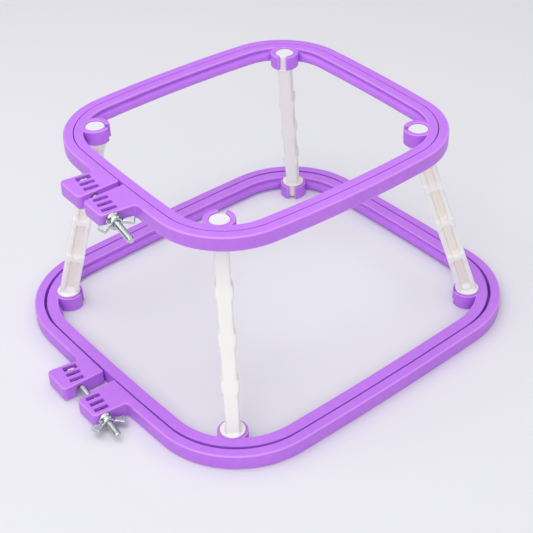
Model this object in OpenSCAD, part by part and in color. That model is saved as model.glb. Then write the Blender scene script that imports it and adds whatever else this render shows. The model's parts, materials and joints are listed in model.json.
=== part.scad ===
// Tabletop embroidery frame: a small clamped hoop pair held over a larger one by four leaning legs.
// The base lies on z = 0, and the origin is under the middle of the frame's box. The long sides run
// along X, and both clamps are on the left side, at -X.

/* [Frame] */
// Height of the frame from the table to the top of the upper hoops
frame_h = 187; // [140:1:260]
// Gap between an outer hoop and the inner hoop that it clamps
seam_gap = 0.3; // [0.2:0.1:0.8]
// Rounding of the hoops' edges
edge_r = 1.2; // [0.6:0.1:1.6]
// How far the bead stands out of an inner hoop's inner wall
bead_out = 1.2; // [0.4:0.1:2]
// How far the top of an inner hoop's inner wall lies behind its foot
lip_in = 1.2; // [0:0.1:2]

/* [Seat of the upper hoops] */
// How far the upper hoops are turned on their slightly flexible legs
upper_turn = -2.3; // [-3:0.1:3]
// How far the upper hoops lean along X
upper_shift_x = -4.2; // [-6:0.1:6]
// How far the upper hoops lean along Y
upper_shift_y = 2.9; // [-6:0.1:6]

/* [Upper hoops] */
// Length of the upper outer hoop, without its clamp
upper_len = 280; // [260:1:310]
// Width of the upper outer hoop
upper_wid = 258; // [240:1:290]
// Corner radius of the upper outer hoop
upper_corner_r = 67; // [50:1:80]
// Bow of the long sides of the upper hoops
upper_bow_long = 2.6; // [1:0.1:5]
// Bow of the short sides of the upper hoops
upper_bow_short = 1.2; // [0.8:0.1:4]
// Height of the upper hoops
upper_h = 13; // [11:0.5:18]
// Width of the upper outer hoop's section
upper_outer_w = 8.8; // [7:0.1:11]
// Width of the upper inner hoop's section
upper_inner_w = 9.6; // [8:0.1:13]
// Gap between the upper clamp's two lugs
upper_clamp_gap = 6; // [3:0.5:12]

/* [Lower hoops] */
// Length of the lower outer hoop, without its clamp
lower_len = 366; // [350:1:400]
// Width of the lower outer hoop
lower_wid = 334; // [320:1:370]
// Corner radius of the lower outer hoop
lower_corner_r = 82; // [60:1:100]
// Bow of the long sides of the lower hoops
lower_bow_long = 1.4; // [1:0.1:5]
// Bow of the short sides of the lower hoops
lower_bow_short = 1.2; // [0.8:0.1:4]
// Height of the lower hoops
lower_h = 14; // [12:0.5:18]
// Width of the lower outer hoop's section
lower_outer_w = 9.6; // [8:0.1:12]
// Width of the lower inner hoop's section
lower_inner_w = 11.8; // [9:0.1:14]
// Gap between the lower clamp's two lugs, which stand open
lower_clamp_gap = 15; // [6:0.5:20]
// How much wider the seam of the opened lower clamp is at the corners
corner_slack = 1.4; // [0.4:0.1:2.5]

/* [Sockets] */
// Outer diameter of a socket ring
socket_d = 25.4; // [23:0.2:30]
// Distance of an upper socket's axis from the inner hoop's inner edge
upper_socket_in = 6.6; // [5:0.1:9]
// Distance of a lower socket's axis from the inner hoop's inner edge
lower_socket_in = 6.8; // [5:0.1:9]
// Width of the slot in a socket ring, which faces the middle of the frame
slot_w = 6; // [4:0.2:8]
// Clearance around a plug in its socket
plug_clear = 0.08; // [0.04:0.02:0.1]

/* [Legs] */
// Diameter of the plugs at a leg's ends
plug_d = 16.4; // [14:0.2:18]
// How far a plug ends short of the far face of its socket
plug_short = 0.7; // [0.4:0.1:2]
// Diameter of the flanges that stand on the sockets
flange_d = 20.8; // [19.6:0.2:23]
// Thickness of a flange
flange_t = 1.6; // [1:0.1:3]
// Thickness of a leg across its pocketed faces
leg_t = 10.6; // [10:0.2:14]
// Width of a leg between its smooth faces
leg_w = 16.6; // [14.4:0.2:18]
// Number of pockets along one face of a leg
pocket_count = 4; // [2:1:4]
// Length of a pocket
pocket_l = 36; // [28:0.5:37]
// Length of the slope at the foot of a pocket
pocket_slope = 4.4; // [1:0.2:8]
// Distance from one pocket to the next, middle to middle
pocket_pitch = 39.8; // [39:0.2:41]
// How far the row of pockets and ribs lies below the leg's middle
pocket_drop = 1.8; // [0:0.2:4]
// Width of a pocket
pocket_w = 8.8; // [6:0.2:10]
// Depth of a pocket
pocket_deep = 3.4; // [2:0.1:4.4]
// How far the rounded ribs between the pockets stand out
rib_out = 1.5; // [1:0.1:3]
// Height along the leg of a rounded rib
rib_l = 11; // [8:0.5:15]

/* [Clamps] */
// Length of a lug from the hoop's outer wall to its end
lug_l = 28.4; // [26:0.2:34]
// Width of a lug along its bolt
lug_w = 28; // [27:0.2:34]
// Rounding of a lug's corners, seen from above
lug_r = 3.5; // [1:0.5:4]
// Angle of a clamp bolt to the hoop's short side
bolt_angle = 8; // [2:1:10]
// Distance of the bolt's axis from the hoop's outer wall, at the middle of the clamp
bolt_out = 14.4; // [13:0.2:17]
// Width of the channel that the bolt lies in, open below
channel_w = 8.6; // [7:0.2:10]
// Length of a slot in a lug's top
lug_slot_l = 12.2; // [11.8:0.2:14]
// Width of a slot in a lug's top
lug_slot_w = 4; // [2:0.2:5]
// Distance from one slot to the next
lug_slot_pitch = 7.9; // [7:0.1:8.4]
// Thickness of the floor left below a slot
lug_slot_floor = 4; // [2:0.5:6]

/* [Bolts and wing nuts] */
// Diameter of a bolt over its thread
bolt_d = 5.9; // [4.8:0.1:6.2]
// Length of a bolt below its head
bolt_l = 86; // [84:1:110]
// Width across flats of a bolt's head
head_af = 10; // [8:0.5:10]
// Height of a bolt's head
head_h = 4; // [3:0.1:4.4]
// How much wider the head's slot is than the head's height
head_room = 1.4; // [0.4:0.1:1.4]
// Chamfer at a bolt's tip
bolt_tip = 0.8; // [0.2:0.1:1.5]
// Clearance between a bolt and the bore of its nut
nut_clear = 0.05; // [0.02:0.01:0.1]
// Diameter of a wing nut's hub at its seat
hub_d = 13; // [11:0.5:16]
// Diameter of a wing nut's hub at its front
hub_front_d = 10; // [9:0.5:10.5]
// Length of a wing nut's hub
hub_l = 8; // [6:0.5:12]
// Span over a wing nut's wings
wing_span = 31; // [24:1:36]
// How far the wings reach from the seat
wing_l = 13; // [12:0.5:20]
// Thickness of a wing
wing_t = 3; // [1.6:0.1:3.4]
// Rounding of a wing's tip
wing_tip_r = 3; // [2:0.1:4]
// Height above the seat at which a wing leaves the hub
wing_foot = 1.5; // [0.8:0.1:3]
// Turn of the upper wing nut
upper_nut_turn = 0; // [-90:1:90]
// Turn of the lower wing nut
lower_nut_turn = -3; // [-90:1:90]

/* [Hidden] */
$fn = 96;

PURPLE = "mediumorchid";
WHITE = "whitesmoke";
METAL = "silver";

// Clearance where a nut or a head seats on a lug, and where a flange seats on a socket.
seat_gap = 0.2;
// What a cut reaches past a face.
cut = 1;
// Steps of a hoop's corner and of its side.
CORNER_STEPS = 12;
SIDE_STEPS = 8;
// Broken edge of the hoops at their seam.
SEAM_EDGE = 0.4;
// Steps of an inner hoop's bead and groove, and the shares of the hoop's height where they start and end.
BEAD_STEPS = 8;
BEAD_FROM = 0.08;
BEAD_TO = 0.8;
// How far a lug's root reaches into the hoop, and a wing's root into the hub.
LUG_ROOT = 4;
WING_ROOT = 1;
// Angle at which the wings flare from the seat.
WING_FLARE = 48;

upper_z = frame_h - upper_h;

// An outline is a rectangle with round corners and bowed sides:
// [half length, half width, corner radius, bow of the long sides, bow of the short sides].
UPPER_OUTLINE = [upper_len / 2, upper_wid / 2, upper_corner_r, upper_bow_long, upper_bow_short];
LOWER_OUTLINE = [lower_len / 2, lower_wid / 2, lower_corner_r, lower_bow_long, lower_bow_short];

// Radius of the long, bowed arc of a side, from half its length and its bow.
function side_r(half, r, bow) = ((half - r) ^ 2 + bow ^ 2) / (2 * bow);
function long_r(o) = side_r(o[0], o[2], o[3]);
function short_r(o) = side_r(o[1], o[2], o[4]);
// Middles of the arcs of the long side at +Y and of the short side at +X.
function long_mid(o) = [0, o[1] - long_r(o)];
function short_mid(o) = [o[0] - short_r(o), 0];
// Middle of the corner arc at +X, +Y, which touches both side arcs from inside.
function corner_mid(o) =
    let (reach_long = long_r(o) - o[2], reach_short = short_r(o) - o[2],
         across = short_mid(o) - long_mid(o), d = norm(across),
         along = (reach_long ^ 2 - reach_short ^ 2 + d ^ 2) / (2 * d),
         beside = sqrt(reach_long ^ 2 - along ^ 2))
    long_mid(o) + across * along / d + [across[1], -across[0]] * beside / d;
function angle_from(mid, p) = atan2(p[1] - mid[1], p[0] - mid[0]);
// An outline drawn in by a distance, and by some more at its corners.
function inset(o, by, slack) =
    [o[0] - by, o[1] - by, o[2] - by + slack / (sqrt(2) - 1), o[3], o[4]];

// Outlines of the inner hoops. The opened lower clamp leaves its seam wider at the corners.
UPPER_INNER = inset(UPPER_OUTLINE, upper_outer_w + seam_gap, 0);
LOWER_INNER = inset(LOWER_OUTLINE, lower_outer_w + seam_gap, corner_slack);

// Points along an arc.
function arc(mid, r, from, to, steps) =
    [for (i = [0 : steps]) let (a = from + (to - from) * i / steps) mid + r * [cos(a), sin(a)]];

// Stations along an arc: each is a point of the outline and the direction in from it.
function arc_stations(mid, r, from, to, steps) =
    [for (i = [0 : steps - 1]) let (a = from + (to - from) * i / steps, out = [cos(a), sin(a)])
        [mid + r * out, -out]];

// Stations all round an outline, counter-clockwise from the corner at +X, +Y.
function stations(o) =
    let (c = corner_mid(o), lm = long_mid(o), sm = short_mid(o),
         long = angle_from(lm, c), short = angle_from(sm, c))
    [each arc_stations(c, o[2], short, long, CORNER_STEPS),
     each arc_stations(lm, long_r(o), long, 180 - long, SIDE_STEPS),
     each arc_stations([-c[0], c[1]], o[2], 180 - long, 180 - short, CORNER_STEPS),
     each arc_stations(-sm, short_r(o), 180 - short, 180 + short, SIDE_STEPS),
     each arc_stations(-c, o[2], 180 + short, 180 + long, CORNER_STEPS),
     each arc_stations(-lm, long_r(o), 180 + long, 360 - long, SIDE_STEPS),
     each arc_stations([c[0], -c[1]], o[2], 360 - long, 360 - short, CORNER_STEPS),
     each arc_stations(sm, short_r(o), -short, short, SIDE_STEPS)];

// Sweeps a section along an outline. The section's x is its distance in from the outline.
module sweep(o, section) {
    path = stations(o);
    n = len(path);
    m = len(section);
    polyhedron(points = [for (st = path, s = section) [each st[0] + st[1] * s[0], s[1]]],
               faces = [for (i = [0 : n - 1], j = [0 : m - 1])
                            let (next = (i + 1) % n * m, above = (j + 1) % m)
                            [i * m + j, next + j, next + above, i * m + above]]);
}

// Section of an outer hoop: outer edges rounded, edges at the seam broken.
function outer_section(w, h) =
    [each arc([edge_r, edge_r], edge_r, 180, 270, 3),
     [w - SEAM_EDGE, 0], [w, SEAM_EDGE], [w, h - SEAM_EDGE], [w - SEAM_EDGE, h],
     each arc([edge_r, h - edge_r], edge_r, 90, 180, 3)];

// Section of an inner hoop. Its inner wall leans back and has a groove above a bead, the halves of a wave.
function inner_section(w, h) =
    [[0, SEAM_EDGE], [SEAM_EDGE, 0], [w - edge_r, 0],
     for (i = [0 : BEAD_STEPS]) let (at = i / BEAD_STEPS)
         [w - lip_in * at + bead_out * sin(360 * at), h * (BEAD_FROM + (BEAD_TO - BEAD_FROM) * at)],
     each arc([w - lip_in - edge_r, h - edge_r], edge_r, 0, 90, 2),
     [SEAM_EDGE, h], [0, h - SEAM_EDGE]];

// Socket axis in the corner at +X, +Y: on the corner's diagonal, past the inner edge of a hoop of width w.
function socket_at(o, w, past) = corner_mid(o) + [1, 1] * (o[2] - w - past) / sqrt(2);
UPPER_SOCKET = socket_at(UPPER_INNER, upper_inner_w, upper_socket_in);
LOWER_SOCKET = socket_at(LOWER_INNER, lower_inner_w, lower_socket_in);
CORNERS = [[-1, -1], [1, -1], [-1, 1], [1, 1]];
// Direction from a socket in the +X, +Y corner to the middle of the frame.
slot_turn = atan2(LOWER_SOCKET[1] - UPPER_SOCKET[1], LOWER_SOCKET[0] - UPPER_SOCKET[0]);

// How far a clamp reaches out from its hoop: to its lugs' end or to the tip of a wing.
wing_reach = bolt_out + (nut_seat(lower_clamp_gap) + seat_gap + wing_l - wing_tip_r) * sin(bolt_angle)
    + (wing_span / 2 - wing_tip_r) * cos(lower_nut_turn) * cos(bolt_angle)
    + wing_tip_r * norm([cos(lower_nut_turn) * cos(bolt_angle), sin(bolt_angle)])
    + wing_t / 2 * abs(sin(lower_nut_turn)) * cos(bolt_angle);
clamp_reach = max(lug_l, wing_reach);

// Places children over the middle of the whole frame's box, where the hoops are off the middle.
module placed(z) {
    translate([clamp_reach / 2, 0, z]) children();
}

// Places children on the legs, where the upper hoops sit.
module placed_on_legs() {
    placed(upper_z) translate([upper_shift_x, upper_shift_y, 0]) rotate([0, 0, upper_turn]) children();
}

module at_corner(place, corner) {
    mirror([corner[0] < 0 ? 1 : 0, 0, 0]) mirror([0, corner[1] < 0 ? 1 : 0, 0])
        translate([place[0], place[1], 0]) rotate([0, 0, slot_turn]) children();
}

module socket_rings(place, h) {
    for (corner = CORNERS) at_corner(place, corner) cylinder(d = socket_d, h = h);
}

module socket_bores(place, h) {
    for (corner = CORNERS) at_corner(place, corner) {
        translate([0, 0, -cut]) cylinder(d = plug_d + 2 * plug_clear, h = h + 2 * cut);
        translate([-socket_d / 2 - cut, -slot_w / 2, -cut]) cube([socket_d / 2 + cut, slot_w, h + 2 * cut]);
    }
}

// Plan of a clamp's two lugs as one block: its side faces are square to the bolt.
module clamp_plan(hoop_x, gap) {
    half = (gap / 2 + lug_w) / cos(bolt_angle);
    end = hoop_x + lug_l;
    // Where the side face at +Y or -Y lies, at a distance from the middle of the hoop.
    face = function(x, side) side * half + (x - hoop_x - bolt_out) * tan(bolt_angle);
    polygon([[LUG_ROOT - hoop_x, face(hoop_x, -1) - lug_r], [-hoop_x, face(hoop_x, -1) - lug_r],
             [-hoop_x - lug_r, face(hoop_x + lug_r, -1)],
             each arc([lug_r - end, face(end, -1) + lug_r], lug_r, 270, 180, 3),
             each arc([lug_r - end, face(end, 1) - lug_r], lug_r, 180, 90, 3),
             [-hoop_x - lug_r, face(hoop_x + lug_r, 1)],
             [-hoop_x, face(hoop_x, 1) + lug_r], [LUG_ROOT - hoop_x, face(hoop_x, 1) + lug_r]]);
}

// Places children on a clamp bolt's axis, with +Z along the bolt from its head to its nut.
module on_bolt(hoop_x, h) {
    translate([-hoop_x - bolt_out, 0, h / 2]) rotate([0, 0, -bolt_angle]) rotate([90, 0, 0]) children();
}

// Seat of the nut and seat of the head, along the bolt from the middle of the clamp. The head lies in
// the slot furthest from the nut.
function nut_seat(gap) = gap / 2 + lug_w;
function head_seat(gap) = -gap / 2 - lug_w / 2 - lug_slot_pitch + (head_h + head_room) / 2;

module clamp_cuts(hoop_x, gap, h) {
    // The split, through the hoop as well.
    translate([-hoop_x - lug_l - cut, -gap / 2, -cut]) cube([lug_l + hoop_x, gap, h + 2 * cut]);
    on_bolt(hoop_x, h) {
        channel = nut_seat(gap) + cut - head_seat(gap);
        translate([0, 0, head_seat(gap)]) {
            cylinder(d = channel_w, h = channel);
            translate([-channel_w / 2, -h, 0]) cube([channel_w, h, channel]);
        }
        // The head's slot goes right through, in place of the slot furthest from the nut.
        translate([-lug_slot_l / 2, -h, head_seat(gap) - head_h - head_room])
            cube([lug_slot_l, 2 * h, head_h + head_room]);
        for (side = [-1, 1], step = [-1, 0, 1]) {
            if (side > 0 || step > -1)
                translate([-lug_slot_l / 2, lug_slot_floor - h / 2,
                           side * (gap + lug_w) / 2 + step * lug_slot_pitch - lug_slot_w / 2])
                    cube([lug_slot_l, h, lug_slot_w]);
        }
    }
}

module outer_hoop(o, w, h, gap) {
    difference() {
        union() {
            sweep(o, outer_section(w, h));
            linear_extrude(h) clamp_plan(o[0], gap);
        }
        clamp_cuts(o[0], gap, h);
    }
}

module inner_hoop(o, w, h, place) {
    difference() {
        union() {
            sweep(o, inner_section(w, h));
            socket_rings(place, h);
        }
        socket_bores(place, h);
    }
}

module upper_outer_hoop() {
    color(PURPLE) placed_on_legs() outer_hoop(UPPER_OUTLINE, upper_outer_w, upper_h, upper_clamp_gap);
}

module upper_inner_hoop() {
    color(PURPLE) placed_on_legs() inner_hoop(UPPER_INNER, upper_inner_w, upper_h, UPPER_SOCKET);
}

module lower_outer_hoop() {
    color(PURPLE) placed(0) outer_hoop(LOWER_OUTLINE, lower_outer_w, lower_h, lower_clamp_gap);
}

module lower_inner_hoop() {
    color(PURPLE) placed(0) inner_hoop(LOWER_INNER, lower_inner_w, lower_h, LOWER_SOCKET);
}

// One end of a leg: plug and flange. z = 0 is the flange's seat.
module leg_end(h) {
    plug_l = h - plug_short - seat_gap;
    translate([0, 0, -plug_l]) cylinder(d = plug_d, h = plug_l);
    cylinder(d = flange_d, h = flange_t);
}

// Point of the corner socket at +X, +Y, mirrored to another corner.
function in_corner(place, corner) = [corner[0] * place[0], corner[1] * place[1]];
function seated(p) =
    [p[0] * cos(upper_turn) - p[1] * sin(upper_turn) + upper_shift_x,
     p[0] * sin(upper_turn) + p[1] * cos(upper_turn) + upper_shift_y];

module leg(corner) {
    seat = lower_h + seat_gap;
    rise = upper_z - seat_gap - seat;
    // How far the top stands outward and sideways from the foot, seen from the foot's socket.
    step = seated(in_corner(UPPER_SOCKET, corner)) - in_corner(LOWER_SOCKET, corner);
    out = step * in_corner([cos(slot_turn), sin(slot_turn)], corner);
    side = step * in_corner([-sin(slot_turn), cos(slot_turn)], corner);
    long = norm([out, side, rise]);
    color(WHITE) placed(seat) at_corner(LOWER_SOCKET, corner) {
        leg_end(lower_h);
        translate([out, side, rise]) mirror([0, 0, 1]) leg_end(upper_h);
        // The bar is cut level where it meets the two flanges.
        intersection() {
            translate([-long, -long / 2, 0]) cube([2 * long, long, rise]);
            translate([out / 2, side / 2, rise / 2]) rotate([-asin(side / long), atan2(out, rise), 0])
                leg_bar(long + leg_w);
        }
    }
}

// The straight bar of a leg, standing at its middle, with pockets in two faces and ribs between them.
module leg_bar(long) {
    first = -(pocket_count - 1) / 2;
    difference() {
        union() {
            cube([leg_w, leg_t, long], center = true);
            for (i = [0 : pocket_count - 2])
                translate([0, 0, (first + i + 0.5) * pocket_pitch - pocket_drop]) leg_rib();
        }
        for (i = [0 : pocket_count - 1], side = [0, 1])
            translate([0, 0, (first + i) * pocket_pitch - pocket_drop]) mirror([0, side, 0]) leg_pocket();
    }
}

// Cuts one pocket into the face at +Y: square at its top, and with a slope at its foot.
module leg_pocket() {
    floor_y = leg_t / 2 - pocket_deep;
    past = leg_t / 2 + rib_out + cut;
    end = pocket_l / 2;
    rotate([90, 0, 90]) linear_extrude(pocket_w, center = true)
        polygon([[floor_y, end], [floor_y, pocket_slope - end],
                 [floor_y + pocket_deep, -end], [past, -end], [past, end]]);
}

// A rounded rib that stands out of both pocketed faces: a cylinder across the leg.
module leg_rib() {
    half = leg_t / 2 + rib_out;
    r = (rib_l ^ 2 / 4 + rib_out ^ 2) / (2 * rib_out);
    intersection() {
        cube([leg_w, 2 * half, rib_l], center = true);
        for (side = [-1, 1])
            translate([-leg_w / 2, side * (half - r), 0]) rotate([0, 90, 0]) cylinder(r = r, h = leg_w);
    }
}

module leg_front_left() { leg([-1, -1]); }
module leg_front_right() { leg([1, -1]); }
module leg_rear_left() { leg([-1, 1]); }
module leg_rear_right() { leg([1, 1]); }

module clamp_bolt(o, h, gap) {
    on_bolt(o[0], h) translate([0, 0, head_seat(gap) - seat_gap - head_h]) {
        rotate([0, 0, 30]) cylinder(d = head_af / cos(30), h = head_h, $fn = 6);
        cylinder(d = bolt_d, h = head_h + bolt_l - bolt_tip);
        translate([0, 0, head_h + bolt_l - bolt_tip])
            cylinder(d1 = bolt_d, d2 = bolt_d - 2 * bolt_tip, h = bolt_tip);
    }
}

module wing_nut(o, h, gap, turn) {
    on_bolt(o[0], h) translate([0, 0, nut_seat(gap) + seat_gap]) rotate([0, 0, turn]) difference() {
        union() {
            cylinder(d1 = hub_d, d2 = hub_front_d, h = hub_l);
            for (side = [0, 1])
                mirror([side, 0, 0]) rotate([90, 0, 0]) linear_extrude(wing_t, center = true) wing_plan();
        }
        translate([0, 0, -cut]) cylinder(d = bolt_d + 2 * nut_clear, h = wing_l + 2 * cut);
    }
}

// Plan of one wing, with a round tip: x runs out from the bolt's axis and y from the seat.
module wing_plan() {
    root = hub_front_d / 2 - WING_ROOT;
    polygon([[root, wing_foot],
             each arc([wing_span / 2 - wing_tip_r, wing_l - wing_tip_r], wing_tip_r,
                      -WING_FLARE, 180 - WING_FLARE, 10),
             [root, hub_l - WING_ROOT]]);
}

module upper_clamp_bolt() {
    color(METAL) placed_on_legs() clamp_bolt(UPPER_OUTLINE, upper_h, upper_clamp_gap);
}

module lower_clamp_bolt() {
    color(METAL) placed(0) clamp_bolt(LOWER_OUTLINE, lower_h, lower_clamp_gap);
}

module upper_wing_nut() {
    color(METAL) placed_on_legs() wing_nut(UPPER_OUTLINE, upper_h, upper_clamp_gap, upper_nut_turn);
}

module lower_wing_nut() {
    color(METAL) placed(0) wing_nut(LOWER_OUTLINE, lower_h, lower_clamp_gap, lower_nut_turn);
}

upper_outer_hoop();
upper_inner_hoop();
lower_outer_hoop();
lower_inner_hoop();
leg_front_left();
leg_front_right();
leg_rear_left();
leg_rear_right();
upper_clamp_bolt();
lower_clamp_bolt();
upper_wing_nut();
lower_wing_nut();
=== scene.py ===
import json
import math
import bpy
import bmesh
import numpy as np
from mathutils import Matrix, Vector


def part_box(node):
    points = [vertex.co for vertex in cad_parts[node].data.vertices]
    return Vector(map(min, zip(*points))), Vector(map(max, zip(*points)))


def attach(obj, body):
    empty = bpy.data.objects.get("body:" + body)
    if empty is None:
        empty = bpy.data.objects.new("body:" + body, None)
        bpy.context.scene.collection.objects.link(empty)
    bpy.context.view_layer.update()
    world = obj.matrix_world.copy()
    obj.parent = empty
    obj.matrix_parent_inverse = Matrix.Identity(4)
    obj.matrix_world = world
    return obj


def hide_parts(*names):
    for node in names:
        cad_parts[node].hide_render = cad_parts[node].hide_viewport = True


# The looks of a tabletop embroidery frame: a clamped pair of hoops held over a larger pair by four legs.

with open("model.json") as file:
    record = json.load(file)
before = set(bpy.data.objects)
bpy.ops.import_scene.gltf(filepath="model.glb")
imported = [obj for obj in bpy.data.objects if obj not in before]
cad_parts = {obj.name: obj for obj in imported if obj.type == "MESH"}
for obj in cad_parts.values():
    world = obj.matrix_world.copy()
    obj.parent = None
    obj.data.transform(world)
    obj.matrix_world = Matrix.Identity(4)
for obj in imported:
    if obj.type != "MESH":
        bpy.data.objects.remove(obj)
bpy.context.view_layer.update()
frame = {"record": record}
BODY_OF = {n: b for b, ns in frame["record"]["behaviour"]["bodies"].items() for n in ns}

# Shapes are worked out in millimetres, and each finished mesh is brought to metres.
MM = 0.001

# Sizes, the same as the frame's.
FRAME_H = 187
UPPER_H, LOWER_H = 13, 14
SEAM_GAP = 0.3
UPPER_TURN, UPPER_SHIFT = math.radians(-2.3), (-4.2, 2.9)
UPPER_OUTLINE = (140, 129, 67, 2.6, 1.2)
LOWER_OUTLINE = (183, 167, 82, 1.4, 1.2)
UPPER_OUTER_W, UPPER_INNER_W = 8.8, 9.6
LOWER_OUTER_W, LOWER_INNER_W = 9.6, 11.8
CORNER_SLACK = 1.4
UPPER_GAP, LOWER_GAP = 6, 15
SOCKET_R = 12.7
UPPER_SOCKET_IN, LOWER_SOCKET_IN = 6.6, 6.8
SLOT_W = 6
PLUG_R, PLUG_CLEAR, PLUG_SHORT, SEAT_GAP = 8.2, 0.16, 0.7, 0.2
FLANGE_R, FLANGE_T = 10.4, 1.6
LUG_L, LUG_W, LUG_R, ROOT_R = 28.4, 28, 3.5, 1.6
BOLT_ANGLE, BOLT_OUT = math.radians(8), 14.4
CHANNEL_W = 8.6
LUG_SLOT_L, LUG_SLOT_W, LUG_SLOT_PITCH, LUG_SLOT_FLOOR = 12.2, 4, 7.9, 4
BOLT_R, BOLT_L, BOLT_TIP = 2.95, 86, 0.8
HEAD_AF, HEAD_H, HEAD_ROOM = 10, 4, 1.4
UPPER_NUT_TURN, LOWER_NUT_TURN = 0, math.radians(-3)

# Roundings that only the look needs.
EDGE_R = 1.4
LUG_TOP_R, LUG_FOOT_R, LUG_SPLIT_R = 1.2, 2.2, 0.8
SEAM_R = 0.3
# The outer hoops stand this much further off at their seams, above a lip, so that these show as dark lines.
UPPER_SEAM_SHOW, LOWER_SEAM_SHOW = 0.4, 1.0
# Height of the lip at an outer hoop's foot, and the share of a corner's slack that it spans.
SEAM_LIP_H, SEAM_LIP_REACH = 2.5, 0.8
FILLET_STEPS = 5


def smooth(t):
    t = np.clip(t, 0, 1)
    return t * t * (3 - 2 * t)


# Meshes.

def mesh_object(points, faces):
    mesh = bpy.data.meshes.new("form")
    mesh.from_pydata([tuple(p) for p in points], [], faces)
    bm = bmesh.new()
    bm.from_mesh(mesh)
    bmesh.ops.recalc_face_normals(bm, faces=bm.faces)
    # Caps go into a boolean as triangles, because a large face may come out of it with a hole filled.
    bmesh.ops.triangulate(bm, faces=[f for f in bm.faces if len(f.verts) > 4])
    bm.to_mesh(mesh)
    bm.free()
    obj = bpy.data.objects.new("form", mesh)
    bpy.context.scene.collection.objects.link(obj)
    return obj


def loft(rows, loop=False):
    """A closed mesh through rings of points: joined back to the first ring, or capped at both ends."""
    rows = np.asarray(rows, float)
    n, m = rows.shape[:2]
    faces = []
    for i in range(n if loop else n - 1):
        a, b = i * m, (i + 1) % n * m
        for j in range(m):
            k = (j + 1) % m
            faces.append((a + j, a + k, b + k, b + j))
    if not loop:
        faces.append(tuple(reversed(range(m))))
        faces.append(tuple(range((n - 1) * m, n * m)))
    return mesh_object(rows.reshape(-1, 3), faces)


# Corners that a cut leaves nearer to each other than this become one.
WELD = 0.003


def applied(obj):
    """The mesh that an object's modifiers make; they are taken off it."""
    bpy.context.view_layer.update()
    graph = bpy.context.evaluated_depsgraph_get()
    mesh = bpy.data.meshes.new_from_object(obj.evaluated_get(graph))
    obj.modifiers.clear()
    return mesh


def carve(base, tools, operation="DIFFERENCE"):
    """Joins the tools to the base or cuts them from it, and takes them away."""
    for tool in tools:
        step = base.modifiers.new("carve", "BOOLEAN")
        step.object, step.operation, step.solver = tool, operation, "MANIFOLD"
    mesh = applied(base)
    bm = bmesh.new()
    bm.from_mesh(mesh)
    bmesh.ops.remove_doubles(bm, verts=bm.verts, dist=WELD)
    bmesh.ops.dissolve_degenerate(bm, edges=bm.edges, dist=WELD / 2)
    bm.to_mesh(mesh)
    bm.free()
    old, base.data = base.data, mesh
    bpy.data.meshes.remove(old)
    for tool in tools:
        bpy.data.objects.remove(tool)
    return base


def offset(plan, by):
    """A closed plan moved outward, square to its edges, by a distance for all or for each point."""
    plan = np.asarray(plan, float)
    along = np.roll(plan, -1, 0) - plan
    along /= np.linalg.norm(along, axis=1)[:, None]
    out = np.stack([along[:, 1], -along[:, 0]], 1)
    before = np.roll(out, 1, 0)
    way = (before + out) / (1 + (before * out).sum(1))[:, None]
    return plan + way * np.broadcast_to(by, len(plan))[:, None]


def prism(plan, levels):
    """A plan carried up through levels of (height, outward offset); either may be one for each point."""
    rows = []
    for z, by in levels:
        flat = offset(plan, by)
        rows.append(np.column_stack([flat, np.broadcast_to(z, len(flat))]))
    return loft(rows)


def rounded_levels(low, high, r_low, r_high):
    """Levels of a block with rounded lower and upper edges."""
    turns = np.linspace(0, math.pi / 2, FILLET_STEPS + 1)
    r_low, r_high = np.asarray(r_low, float), np.asarray(r_high, float)
    return ([(low + r_low * (1 - math.cos(t)), -r_low * (1 - math.sin(t))) for t in turns]
            + [(high - r_high * (1 - math.cos(t)), -r_high * (1 - math.sin(t))) for t in turns[::-1]])


# How far a cutter with rounded mouths reaches past them.
CUT_PAST = 1.0


def mouth_levels(low, high, r_low, r_high, steps=3):
    """Levels of a cutter that leaves the edges of its mouths rounded; radius 0 leaves an end blunt."""
    turns = np.linspace(0, math.pi / 2, steps + 1)
    levels = []
    if r_low:
        levels += [(low - CUT_PAST, r_low)]
        levels += [(low + r_low * (1 - math.cos(t)), r_low * (1 - math.sin(t))) for t in turns]
    else:
        levels += [(low, 0)]
    if r_high:
        levels += [(high - r_high * (1 - math.cos(t)), r_high * (1 - math.sin(t))) for t in turns[::-1]]
        levels += [(high + CUT_PAST, r_high)]
    else:
        levels += [(high, 0)]
    return levels


def arc(mid, r, start, end, steps):
    turns = np.linspace(start, end, steps + 1)
    return np.column_stack([mid[0] + r * np.cos(turns), mid[1] + r * np.sin(turns)])


def circle(r, steps):
    return arc((0, 0), r, 0, 2 * math.pi, steps)[:-1]


BOX_CORNER_STEPS = 3


def round_box_plan(half_x, half_y, r):
    q, steps = math.pi / 2, BOX_CORNER_STEPS
    return np.vstack([arc((half_x - r, half_y - r), r, 0, q, steps),
                      arc((r - half_x, half_y - r), r, q, 2 * q, steps),
                      arc((r - half_x, r - half_y), r, 2 * q, 3 * q, steps),
                      arc((half_x - r, r - half_y), r, 3 * q, 4 * q, steps)])


def move(obj, matrix):
    obj.data.transform(matrix)
    return obj


# Outlines.

# An outline is given by half its length, half its width, its corners' radius and how far its long and its
# short sides bow out.
CORNER_STEPS, LONG_STEPS, SHORT_STEPS = 64, 14, 12
# How much further out a square corner lies than a round one, as a share of the radius.
SQUARE_PAST_ROUND = math.sqrt(2) - 1


def inset(o, by, slack=0.0):
    """An outline moved inward, and a little further at its corners where it gets slack."""
    return (o[0] - by, o[1] - by, o[2] - by + slack / SQUARE_PAST_ROUND, o[3], o[4])


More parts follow.
